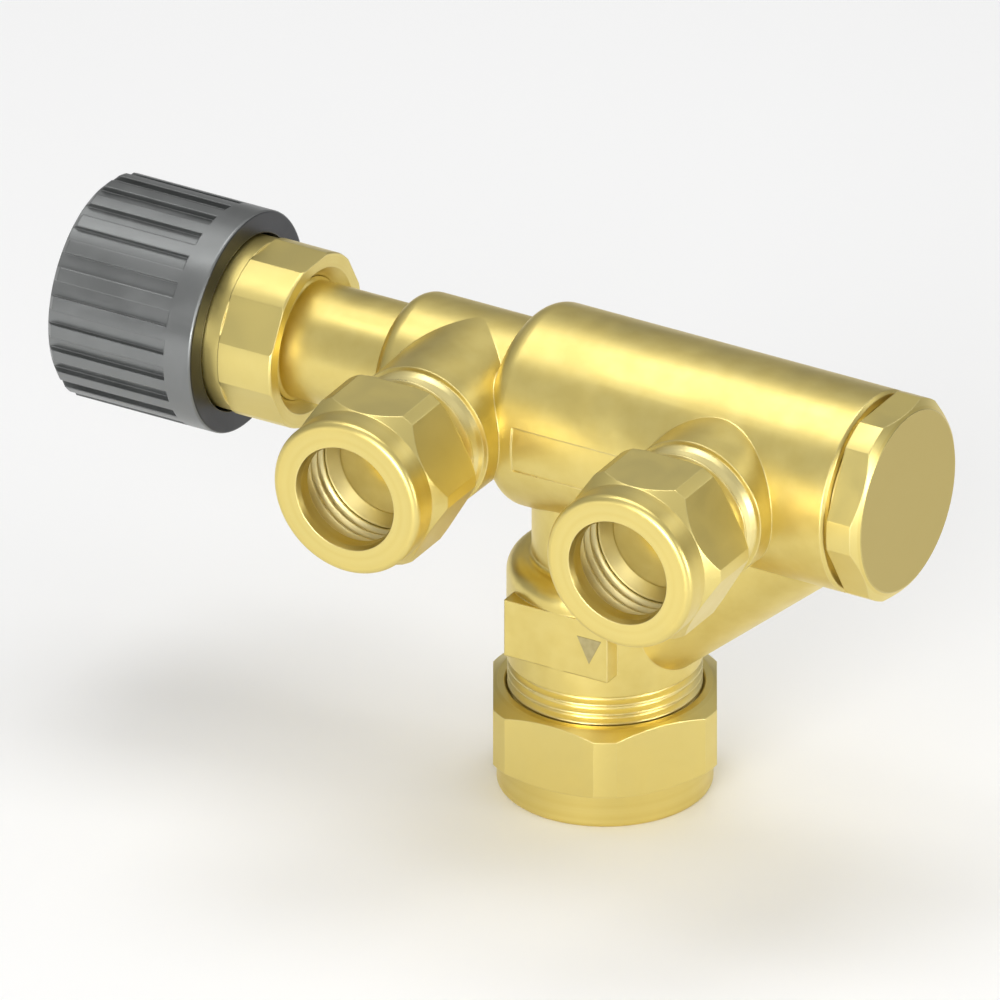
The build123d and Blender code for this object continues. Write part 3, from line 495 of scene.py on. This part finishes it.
@dataclass(frozen=True)
class BodyBrass:
    """Forged brass with a fine skin, machined where the threads and pipe ends are.

    Roughness is given at the smoothest and at the dullest place, as in every finish below.
    """

    bright: Colour = (0.785, 0.645, 0.225)
    deep: Colour = (0.745, 0.60, 0.195)
    # painted light: fresh-cut brass for the threads and pipe ends, painted lighter still where the
    # nuts shade them
    thread_painted_light: Colour = (0.89, 0.765, 0.345)
    worn: Colour = (0.87, 0.74, 0.34)
    roughness: Range = (0.34, 0.42)
    worn_gloss: float = 0.08
    grain_size: float = 0.00055
    grain_depth: float = 0.000012
    machined_grain: float = 0.12
    patch_size: float = 0.011
    spot_share: float = 0.12
    edge_round: float = 0.0003
    spigot_end: float = -0.0328
    spigot_fade: float = 0.0004
    inlet_end: float = -0.0182
    outlet_end: float = -0.00165
    end_fade: float = 0.0002
    socket_radius: float = 0.00765

    def material(self, book: ShaderBook) -> bpy.types.Material:
        """Build the finish.

        Args:
            book: The shared shader groups.

        Returns:
            The material.
        """
        sheet = FinishSheet("body brass")
        plain = sheet.plain()
        grain = book.grain.place(sheet, vector=plain, grain_size=self.grain_size)
        marks = book.handling.place(sheet, vector=plain, patch_size=self.patch_size)
        edges = book.edges.place(sheet, vector=plain, round=self.edge_round)
        machined, threaded = self.cut_masks(sheet, plain)
        spots = sheet.calc("MULTIPLY", marks["Spots"], self.spot_share)
        tone = sheet.blend(grain["Tone"], self.bright, self.deep)
        # painted light: the threads and inlet ends are lifted to the pale thread colour
        tone = sheet.blend(threaded, tone, self.thread_painted_light)
        tone = sheet.blend(spots, tone, self.deep)
        tone = sheet.blend(edges["Wear"], tone, self.worn)
        rough = sheet.between(marks["Smudge"], *self.roughness)
        rough = sheet.calc("MULTIPLY_ADD", edges["Wear"], -self.worn_gloss, rough)
        calmed = sheet.between(machined, 1.0, self.machined_grain)
        height = sheet.calc("MULTIPLY", calmed, grain["Height"])
        return sheet.complete(tone, rough, height, self.grain_depth, edges["Normal"], metallic=1.0)

    def cut_masks(self, sheet: FinishSheet, plain: Socket) -> tuple[Socket, Socket]:
        """Masks of what the lathe has cut, and of the threads and cones in it, which are
        painted lighter as painted light.

        Args:
            sheet: The material's node sheet.
            plain: The part's own coordinates.

        Returns:
            The mask of spigot, inlet ends and outlet end, and the mask of the outlet's thread
            and all of the inlets' ends outside their sockets.
        """
        parts = sheet.split(plain)
        spigot = sheet.span(parts["X"], self.spigot_end, self.spigot_end - self.spigot_fade)
        inlets = sheet.span(parts["Y"], self.inlet_end, self.inlet_end - self.end_fade)
        outlet = sheet.span(parts["Z"], self.outlet_end, self.outlet_end - self.end_fade)
        machined = sheet.calc("MAXIMUM", spigot, sheet.calc("MAXIMUM", inlets, outlet))
        outside = sheet.calc("MULTIPLY", self.past_socket(sheet, parts), inlets)
        return machined, sheet.calc("MAXIMUM", outside, outlet)

    def past_socket(self, sheet: FinishSheet, parts: Sockets) -> Socket:
        """Mask of what lies further from the nearer inlet's axis than its socket's wall.

        Args:
            sheet: The material's node sheet.
            parts: X, Y and Z of the part's own coordinates.

        Returns:
            A mask from 0 to 1.
        """
        middle = (Line.COLD.point[0] + Line.HOT.point[0]) / 2
        apart = sheet.calc("ABSOLUTE", sheet.calc("SUBTRACT", parts["X"], middle))
        aside = sheet.calc("SUBTRACT", apart, Line.HOT.point[0] - middle)
        rise = sheet.calc("SUBTRACT", parts["Z"], AXIS_HEIGHT)
        radius = sheet.reach(aside, rise)
        return sheet.span(radius, self.socket_radius, self.socket_radius + MASK_EDGE)


@dataclass(frozen=True)
class TurnedBrass:
    """Brass bar turned on a lathe, with its drawn flats left as they came.

    Radii are measured from the piece's own axis and stations along it. By default the flats, the
    end face and the open thread lie out of reach, for a piece that has none. The end face is
    painted darker as painted shade, and the thread lighter as painted light.
    """

    title: str
    line: Line
    flats_radius: float = 1.0
    faced_from: float = 1.0
    thread_radius: float = 0.0
    thread_from: float = -0.0347
    bright: Colour = (0.79, 0.655, 0.235)
    deep: Colour = (0.755, 0.61, 0.20)
    # painted shade: the end face is painted darker in place of the shade it stands in
    face_painted_shade: Colour = (0.50, 0.395, 0.125)
    # painted light: fresh-cut brass for threads and collars, painted lighter still where nuts and
    # gaps shade them
    thread_painted_light: Colour = (0.93, 0.82, 0.43)
    worn: Colour = (0.88, 0.75, 0.35)
    roughness: Range = (0.34, 0.41)
    hairline_gloss: float = 0.05
    feed: float = 0.00016
    depth: float = 0.0000030
    drawn_pace: Point = (2600.0, 2600.0, 70.0)
    patch_size: float = 0.008
    smudge_share: float = 0.4
    edge_round: float = 0.00022
    flats_margin: Range = (0.00004, 0.00001)
    faced_rings: float = 0.3
    faced_smudge: float = 0.25

    def material(self, book: ShaderBook) -> bpy.types.Material:
        """Build the finish.

        Args:
            book: The shared shader groups.

        Returns:
            The material.
        """
        sheet = FinishSheet(self.title)
        plain = sheet.plain()
        laid = sheet.laid_along(self.line, plain)
        lathe = book.lathe.place(sheet, vector=laid, feed=self.feed)
        marks = book.handling.place(sheet, vector=plain, patch_size=self.patch_size)
        edges = book.edges.place(sheet, vector=plain, round=self.edge_round)
        flat, end, thread = self.area_masks(sheet, laid)
        stretched = sheet.add("ShaderNodeMapping", {"Vector": laid, "Scale": self.drawn_pace})
        drawn = sheet.noise(stretched.outputs[0], 1.0, detail=2.0)
        height = sheet.add("ShaderNodeMix", {0: flat, 2: lathe["Height"], 3: drawn}).outputs[0]
        turned = sheet.calc("SUBTRACT", 1.0, flat)
        turned = sheet.calc("MULTIPLY", turned, sheet.between(end, 1.0, self.faced_rings))
        rings = sheet.calc("MULTIPLY", lathe["Shade"], turned)
        calmed = sheet.between(end, 1.0, self.faced_smudge)
        smudge = sheet.calc("MULTIPLY", marks["Smudge"], calmed)
        tone = sheet.blend(rings, self.bright, self.deep)
        tone = sheet.blend(sheet.calc("MULTIPLY", smudge, self.smudge_share), tone, self.deep)
        # painted light on the thread
        tone = sheet.blend(thread, tone, self.thread_painted_light)
        # painted shade on the end face
        tone = sheet.blend(end, tone, self.face_painted_shade)
        tone = sheet.blend(edges["Wear"], tone, self.worn)
        rough = sheet.between(smudge, *self.roughness)
        rough = sheet.calc("MULTIPLY_ADD", marks["Hairlines"], -self.hairline_gloss, rough)
        return sheet.complete(tone, rough, height, self.depth, edges["Normal"], metallic=1.0)

    def area_masks(self, sheet: FinishSheet, laid: Socket) -> tuple[Socket, Socket, Socket]:
        """Masks of the drawn flats, the end face that is painted darker as painted shade, and the
        thread that is painted lighter as painted light.

        Args:
            sheet: The material's node sheet.
            laid: Coordinates with the axis along local Z.

        Returns:
            The three masks, each from 0 to 1.
        """
        parts = sheet.split(laid)
        radius, station = sheet.reach(parts["X"], parts["Y"]), parts["Z"]
        flat = sheet.span(radius, *(self.flats_radius - margin for margin in self.flats_margin))
        end = sheet.span(station, self.faced_from, self.faced_from + MASK_EDGE)
        inside = sheet.span(radius, self.thread_radius, self.thread_radius - MASK_EDGE)
        past = sheet.span(station, self.thread_from, self.thread_from + MASK_EDGE)
        return flat, end, sheet.calc("MULTIPLY", inside, past)


@dataclass(frozen=True)
class KnobPlastic:
    """Graphite grey moulding with a satin skin that shines almost like metal.
    Its end face towards the bonnet is painted near black: painted shade.
    """

    base: Colour = (0.225, 0.232, 0.23)
    pale: Colour = (0.30, 0.306, 0.304)
    # painted shade: the end face towards the bonnet is painted near black in place of its shade
    end_painted_shade: Colour = (0.055, 0.056, 0.06)
    end_shade_from: float = -0.0591
    roughness: Range = (0.33, 0.41)
    metallic: float = 0.9
    grain_size: float = 0.00028
    grain_depth: float = 0.000012
    patch_size: float = 0.007
    smudge_share: float = 0.2
    edge_round: float = 0.0003
    wear_share: float = 0.5

    def material(self, book: ShaderBook) -> bpy.types.Material:
        """Build the finish.

        Args:
            book: The shared shader groups.

        Returns:
            The material.
        """
        sheet = FinishSheet("knob plastic")
        plain = sheet.plain()
        grain = book.grain.place(sheet, vector=plain, grain_size=self.grain_size)
        marks = book.handling.place(sheet, vector=plain, patch_size=self.patch_size)
        edges = book.edges.place(sheet, vector=plain, round=self.edge_round)
        smudge = sheet.calc("MULTIPLY", marks["Smudge"], self.smudge_share)
        station = sheet.split(plain)["X"]
        # painted shade on the end face towards the bonnet
        shaded_end = sheet.span(station, self.end_shade_from, self.end_shade_from + MASK_EDGE)
        wear = sheet.calc("MULTIPLY", edges["Wear"], self.wear_share)
        tone = sheet.blend(smudge, self.base, self.pale)
        tone = sheet.blend(shaded_end, tone, self.end_painted_shade)
        tone = sheet.blend(wear, tone, self.pale)
        rough = sheet.between(marks["Smudge"], *self.roughness)
        return sheet.complete(
            tone, rough, grain["Height"], self.grain_depth, edges["Normal"], self.metallic,
        )


@dataclass(frozen=True)
class WhitePlastic:
    """Off-white engineering plastic of the pieces inside."""

    base: Colour = (0.80, 0.79, 0.74)
    shade: Colour = (0.70, 0.69, 0.63)
    roughness: Range = (0.40, 0.53)
    grain_size: float = 0.0003
    grain_depth: float = 0.000008
    patch_size: float = 0.005
    smudge_share: float = 0.6

    def material(self, book: ShaderBook) -> bpy.types.Material:
        """Build the finish.

        Args:
            book: The shared shader groups.

        Returns:
            The material.
        """
        sheet = FinishSheet("white plastic")
        plain = sheet.plain()
        grain = book.grain.place(sheet, vector=plain, grain_size=self.grain_size)
        marks = book.handling.place(sheet, vector=plain, patch_size=self.patch_size)
        smudge = sheet.calc("MULTIPLY", marks["Smudge"], self.smudge_share)
        tone = sheet.blend(smudge, self.base, self.shade)
        rough = sheet.between(marks["Smudge"], *self.roughness)
        return sheet.complete(tone, rough, grain["Height"], self.grain_depth)


@dataclass(frozen=True)
class SealRubber:
    """Black seal rubber with a dull, slightly dusty skin."""

    base: Colour = (0.022, 0.022, 0.024)
    dusty: Colour = (0.06, 0.06, 0.058)
    roughness: Range = (0.49, 0.63)
    grain_size: float = 0.0002
    grain_depth: float = 0.00001
    patch_size: float = 0.003
    dust_share: float = 0.5

    def material(self, book: ShaderBook) -> bpy.types.Material:
        """Build the finish.

        Args:
            book: The shared shader groups.

        Returns:
            The material.
        """
        sheet = FinishSheet("seal rubber")
        plain = sheet.plain()
        grain = book.grain.place(sheet, vector=plain, grain_size=self.grain_size)
        marks = book.handling.place(sheet, vector=plain, patch_size=self.patch_size)
        dust = sheet.calc("MULTIPLY", marks["Smudge"], self.dust_share)
        tone = sheet.blend(dust, self.base, self.dusty)
        rough = sheet.between(grain["Tone"], *self.roughness)
        return sheet.complete(tone, rough, grain["Height"], self.grain_depth)


@dataclass(frozen=True)
class DrawnSteel:
    """Bright steel of springs, clip, screw and wax rod."""

    base: Colour = (0.62, 0.62, 0.60)
    dull: Colour = (0.45, 0.45, 0.44)
    roughness: Range = (0.24, 0.38)
    feed: float = 0.0001
    depth: float = 0.000002
    patch_size: float = 0.003
    smudge_share: float = 0.6
    edge_round: float = 0.00012

    def material(self, book: ShaderBook) -> bpy.types.Material:
        """Build the finish.

        Args:
            book: The shared shader groups.

        Returns:
            The material.
        """
        sheet = FinishSheet("drawn steel")
        plain = sheet.plain()
        laid = sheet.laid_along(Line.MAIN, plain)
        lathe = book.lathe.place(sheet, vector=laid, feed=self.feed)
        marks = book.handling.place(sheet, vector=plain, patch_size=self.patch_size)
        edges = book.edges.place(sheet, vector=plain, round=self.edge_round)
        smudge = sheet.calc("MULTIPLY", marks["Smudge"], self.smudge_share)
        tone = sheet.blend(smudge, self.base, self.dull)
        rough = sheet.between(marks["Smudge"], *self.roughness)
        return sheet.complete(
            tone, rough, lathe["Height"], self.depth, edges["Normal"], metallic=1.0,
        )


@dataclass(frozen=True)
class EtchedMark:
    """Dull grey-gold of a mark that stands just proud of the brass."""

    base: Colour = (0.50, 0.43, 0.22)
    shade: Colour = (0.44, 0.37, 0.18)
    roughness: Range = (0.45, 0.55)
    grain_size: float = 0.0002
    grain_depth: float = 0.00001

    def material(self, book: ShaderBook) -> bpy.types.Material:
        """Build the finish.

        Args:
            book: The shared shader groups.

        Returns:
            The material.
        """
        sheet = FinishSheet("etched mark")
        grain = book.grain.place(sheet, vector=sheet.plain(), grain_size=self.grain_size)
        tone = sheet.blend(grain["Tone"], self.base, self.shade)
        rough = sheet.between(grain["Tone"], *self.roughness)
        return sheet.complete(tone, rough, grain["Height"], self.grain_depth, metallic=1.0)


def dress(node: str, material: bpy.types.Material) -> None:
    """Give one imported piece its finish.

    Args:
        node: The piece's name in the frame.
        material: Its new material.
    """
    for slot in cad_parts[node].material_slots:
        slot.material = material
    LOG.info("%s wears %s", node, material.name)


@dataclass
class ValveBody:
    """The forged body with its flow arrow."""

    book: ShaderBook
    finish: BodyBrass = BodyBrass()
    mark: EtchedMark = EtchedMark()
    arrow_left: float = 0.0035
    arrow_right: float = 0.0075
    arrow_top: float = 0.0084
    arrow_tip: float = 0.0043
    pad_face: float = -0.0141
    arrow_rise: float = 0.00006
    arrow_root: float = 0.00002
    rim_share: float = 0.6
    rim_steps: int = 2

    def build(self) -> None:
        """Dress the body and set the arrow on its wrench flat."""
        dress("valve_body", self.finish.material(self.book))
        arrow = self.arrow()
        arrow.data.materials.append(self.mark.material(self.book))
        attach(arrow, "housing")
        LOG.info("%s stands on the front wrench flat", arrow.name)

    def arrow(self) -> bpy.types.Object:
        """Make the flow arrow: a small triangle that points to the outlet.

        Returns:
            The arrow's object.
        """
        left, right, top = self.arrow_left, self.arrow_right, self.arrow_top
        corners = [(left, top), ((left + right) / 2, self.arrow_tip), (right, top)]
        mesh = bmesh.new()
        base = [mesh.verts.new((x, self.pad_face + self.arrow_root, z)) for x, z in corners]
        face = mesh.faces.new(base)
        raised = bmesh.ops.extrude_face_region(mesh, geom=[face])
        tops = [item for item in raised["geom"] if isinstance(item, bmesh.types.BMVert)]
        lift = (0.0, -self.arrow_rise - self.arrow_root, 0.0)
        bmesh.ops.translate(mesh, verts=tops, vec=lift)
        rims = [edge for edge in mesh.edges if all(vert in tops for vert in edge.verts)]
        bevel = self.arrow_rise * self.rim_share
        bmesh.ops.bevel(mesh, geom=rims, offset=bevel, segments=self.rim_steps, affect="EDGES")
        bmesh.ops.recalc_face_normals(mesh, faces=mesh.faces)
        data = bpy.data.meshes.new("flow_arrow")
        mesh.to_mesh(data)
        mesh.free()
        arrow = bpy.data.objects.new("flow_arrow", data)
        bpy.context.scene.collection.objects.link(arrow)
        return arrow


@dataclass
class KnobSet:
    """The knob and the spindle that turns with it."""

    book: ShaderBook
    knob: KnobPlastic = KnobPlastic()
    spindle: TurnedBrass = TurnedBrass("spindle brass", Line.MAIN)

    def build(self) -> None:
        """Dress both pieces."""
        dress("knob", self.knob.material(self.book))
        dress("spindle", self.spindle.material(self.book))


@dataclass
class BonnetAndPlug:
    """The two hexagonal pieces that close the barrel."""

    book: ShaderBook
    bonnet: TurnedBrass = TurnedBrass("bonnet brass", Line.MAIN, flats_radius=0.0125)
    # painted shade on the end face past 0.0499 m, painted light on the collar and thread inside
    # 0.0136 m
    plug: TurnedBrass = TurnedBrass(
        "plug brass", Line.MAIN,
        flats_radius=0.0140, faced_from=0.0499, thread_radius=0.0136, thread_from=0.0440,
    )

    def build(self) -> None:
        """Dress both pieces."""
        dress("bonnet", self.bonnet.material(self.book))
        dress("end_plug", self.plug.material(self.book))


@dataclass
class CompressionNuts:
    """The three nuts that hold the pipes, each with marks round its own axis."""

    book: ShaderBook
    # painted light on the thread inside each inlet nut
    cold: TurnedBrass = TurnedBrass(
        "cold nut brass", Line.COLD, flats_radius=0.0120, thread_radius=0.0109,
    )
    hot: TurnedBrass = TurnedBrass(
        "hot nut brass", Line.HOT, flats_radius=0.0120, thread_radius=0.0109,
    )
    outlet: TurnedBrass = TurnedBrass("outlet nut brass", Line.OUTLET, flats_radius=0.0160)

    def build(self) -> None:
        """Dress the nuts."""
        dress("cold_nut", self.cold.material(self.book))
        dress("hot_nut", self.hot.material(self.book))
        dress("outlet_nut", self.outlet.material(self.book))


@dataclass
class InnerWorks:
    """What moves, seals or holds inside the barrel, the inlets and the knob."""

    book: ShaderBook
    brass: TurnedBrass = TurnedBrass("inner brass", Line.MAIN)
    plastic: WhitePlastic = WhitePlastic()
    rubber: SealRubber = SealRubber()
    steel: DrawnSteel = DrawnSteel()
    brass_pieces: tuple[str, ...] = (
        "push_rod", "wax_capsule", "shuttle_stem", "hot_seat", "divider",
    )
    plastic_pieces: tuple[str, ...] = (
        "shuttle", "cold_check_cage", "cold_check_seat", "cold_check_poppet",
        "hot_check_cage", "hot_check_seat", "hot_check_poppet",
    )
    rubber_pieces: tuple[str, ...] = (
        "bonnet_o_ring", "spindle_o_ring", "divider_o_ring", "stem_o_ring", "end_plug_o_ring",
    )
    steel_pieces: tuple[str, ...] = ("spindle_clip", "knob_screw", "wax_rod")

    def build(self) -> None:
        """Dress the inner pieces by what they are made of."""
        groups = (
            (self.brass_pieces, self.brass),
            (self.plastic_pieces, self.plastic),
            (self.rubber_pieces, self.rubber),
            (self.steel_pieces, self.steel),
        )
        for names, finish in groups:
            material = finish.material(self.book)
            for name in names:
                dress(name, material)


@dataclass(frozen=True)
class SpringSpan:
    """A length of a packed coil between the two bodies it stands between."""

    title: str
    node: str
    first_body: str
    last_body: str
    start: Point
    end: Point
    cut_point: Point | None = None
    cut_normal: Point | None = None
    weld: float = 1e-7

    def hang(self, steel: bpy.types.Material) -> None:
        """Copy the coil and keep this span of it.

        Args:
            steel: The spring's finish.
        """
        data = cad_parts[self.node].data.copy()
        data.name = self.title
        data.materials.clear()
        data.materials.append(steel)
        if self.cut_point:
            self.cut(data)
        coil = bpy.data.objects.new(self.title, data)
        bpy.context.scene.collection.objects.link(coil)
        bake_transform(coil)
        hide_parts(self.node)
        LOG.info("%s gives way between %s and %s", self.title, self.first_body, self.last_body)

    def cut(self, data: bpy.types.Mesh) -> None:
        """Take away what lies past the cut, and close the wire's end.

        Args:
            data: The coil's mesh.
        """
        mesh = bmesh.new()
        mesh.from_mesh(data)
        bmesh.ops.remove_doubles(mesh, verts=mesh.verts, dist=self.weld)
        whole = [*mesh.verts, *mesh.edges, *mesh.faces]
        done = bmesh.ops.bisect_plane(
            mesh, geom=whole, plane_co=self.cut_point, plane_no=self.cut_normal, clear_outer=True,
        )
        rims = [item for item in done["geom_cut"] if isinstance(item, bmesh.types.BMEdge)]
        bmesh.ops.triangle_fill(mesh, edges=rims, use_beauty=True)
        mesh.to_mesh(data)
        mesh.free()


@dataclass
class Springs:
    """The three springs. The return spring has a span for each of the two slides that work it."""

    book: ShaderBook
    steel: DrawnSteel = DrawnSteel()
    stem_end: float = 0.0375
    middle: float = 0.04175
    pocket_end: float = 0.046
    hub_face: float = -0.0150
    poppet_face: float = -0.01775

    def build(self) -> None:
        """Hang every span."""
        material = self.steel.material(self.book)
        checks = (self.check_span("cold", Line.COLD), self.check_span("hot", Line.HOT))
        for span in (*self.return_spans(), *checks):
            span.hang(material)

    def return_spans(self) -> tuple[SpringSpan, SpringSpan]:
        """Halve the return spring: the shuttle works its left span, the push rod its right one.

        Returns:
            The left span and the right span.
        """
        stem, middle, pocket = (
            (x, 0.0, AXIS_HEIGHT) for x in (self.stem_end, self.middle, self.pocket_end)
        )
        left = SpringSpan(
            "return_spring_left", "return_spring", "shuttle_set", "push_rod_set",
            start=stem, end=middle, cut_point=middle, cut_normal=(1.0, 0.0, 0.0),
        )
        right = SpringSpan(
            "return_spring_right", "return_spring", "push_rod_set", "housing",
            start=middle, end=pocket, cut_point=middle, cut_normal=(-1.0, 0.0, 0.0),
        )
        return left, right

    def check_span(self, side: str, line: Line) -> SpringSpan:
        """The spring of one check valve, from its cage's hub to its poppet.

        Args:
            side: The inlet, cold or hot.
            line: The inlet's axis.

        Returns:
            The span.
        """
        x, _, z = line.point
        return SpringSpan(
            f"{side}_check_coil", f"{side}_check_spring", "housing", f"{side}_poppet",
            start=(x, self.hub_face, z), end=(x, self.poppet_face, z),
        )


@dataclass(frozen=True)
class SoftBox:
    """One soft lamp: where it hangs, seen from the valve, and how large and strong it is."""

    title: str
    toward: Point
    distance: float
    width: float
    height: float
    watts: float

    def hang(self, target: Vector) -> None:
        """Hang the lamp so that it faces the target.

        Args:
            target: The point that it faces.
        """
        data = bpy.data.lights.new(self.title, "AREA")
        data.shape = "RECTANGLE"
        data.size, data.size_y = self.width, self.height
        data.energy = self.watts
        lamp = bpy.data.objects.new(self.title, data)
        direction = Vector(self.toward).normalized()
        lamp.location = target + direction * self.distance
        lamp.rotation_euler = direction.to_track_quat("Z", "Y").to_euler()
        lamp.visible_camera = False
        bpy.context.scene.collection.objects.link(lamp)
        LOG.info("lamp %s hangs %.2f m away", self.title, self.distance)


@dataclass(frozen=True)
class Studio:
    """Pale floor, soft lamps and the photograph's camera."""

    floor_height: float = -0.022
    floor_reach: float = 4.0
    floor_cells: int = 8
    floor_colour: Colour = (0.95, 0.95, 0.95)
    floor_roughness: float = 0.9
    azimuth: float = 30.0
    elevation: float = 28.0
    target: Point = (-0.01732, 0.0, 0.01829)
    frame_width: float = 0.142857
    camera_distance: float = 0.6
    camera_clip: Range = (0.01, 20.0)
    sky_low: float = 0.28
    sky_high: float = 0.62
    sky_lightest: Point = (0.0, -0.2, 0.98)
    lamps: tuple[SoftBox, ...] = (
        SoftBox("top lamp", (-0.08, 0.28, 0.93), 0.8, 0.56, 0.30, 1.75),
        SoftBox("front lamp", (0.12, -0.98, 0.12), 0.8, 0.36, 0.17, 3.2),
        SoftBox("right lamp", (0.98, -0.08, 0.12), 0.8, 0.36, 0.17, 2.2),
        SoftBox("head lamp", (0.22, -0.84, 0.49), 0.9, 0.62, 0.32, 1.4),
        SoftBox("side lamp", (-0.33, -0.10, 0.93), 0.8, 0.16, 0.42, 0.6),
        SoftBox("back lamp", (0.50, 0.69, 0.53), 0.8, 0.34, 0.20, 0.25),
    )

    def build(self) -> None:
        """Set up everything around the valve."""
        self.lay_floor()
        self.paint_sky()
        for lamp in self.lamps:
            lamp.hang(Vector(self.target))
        self.place_camera()
        bpy.context.scene.view_settings.view_transform = "Standard"

    def lay_floor(self) -> None:
        """Lay the floor under the outlet nut."""
        mesh = bmesh.new()
        cells = self.floor_cells
        bmesh.ops.create_grid(mesh, x_segments=cells, y_segments=cells, size=self.floor_reach)
        data = bpy.data.meshes.new("floor")
        mesh.to_mesh(data)
        mesh.free()
        floor = bpy.data.objects.new("floor", data)
        floor.location = (0.0, 0.0, self.floor_height)
        bpy.context.scene.collection.objects.link(floor)
        sheet = FinishSheet("floor")
        sheet.shader.inputs["Base Color"].default_value = (*self.floor_colour, 1.0)
        sheet.shader.inputs["Roughness"].default_value = self.floor_roughness
        data.materials.append(sheet.made)

    def paint_sky(self) -> None:
        """Give the world a soft grey that grows lighter upwards and towards the front."""
        world = bpy.data.worlds.new("studio")
        world.use_nodes = True
        world.node_tree.nodes.clear()
        bpy.context.scene.world = world
        sheet = NodeSheet(world.node_tree)
        way = {0: sheet.add("ShaderNodeTexCoord").outputs["Generated"], 1: self.sky_lightest}
        facing = sheet.add("ShaderNodeVectorMath", way, operation="DOT_PRODUCT")
        level = sheet.between(facing.outputs["Value"], self.sky_low, self.sky_high)
        tint = sheet.add("ShaderNodeCombineColor", {0: level, 1: level, 2: level})
        background = sheet.add("ShaderNodeBackground", {"Color": tint.outputs[0]})
        sheet.add("ShaderNodeOutputWorld", {"Surface": background.outputs[0]})

    def place_camera(self) -> None:
        """Place the parallel-view camera at the photograph's angle."""
        data = bpy.data.cameras.new("photo camera")
        data.type = "ORTHO"
        data.ortho_scale = self.frame_width
        data.clip_start, data.clip_end = self.camera_clip
        camera = bpy.data.objects.new("photo camera", data)
        turn, rise = math.radians(self.azimuth), math.radians(self.elevation)
        level = math.cos(rise)
        back = Vector((math.sin(turn) * level, -math.cos(turn) * level, math.sin(rise)))
        camera.location = Vector(self.target) + back * self.camera_distance
        camera.rotation_euler = back.to_track_quat("Z", "Y").to_euler()
        bpy.context.scene.collection.objects.link(camera)
        bpy.context.scene.camera = camera


def main() -> None:
    """Dress every sub-assembly, then build the studio round it."""
    logging.basicConfig(level=logging.INFO, format="%(message)s")
    book = ShaderBook()
    for assembly in (ValveBody, KnobSet, BonnetAndPlug, CompressionNuts, InnerWorks, Springs):
        assembly(book).build()
        LOG.info("%s is done", assembly.__name__)
    Studio().build()


if __name__ == "__main__":
    main()
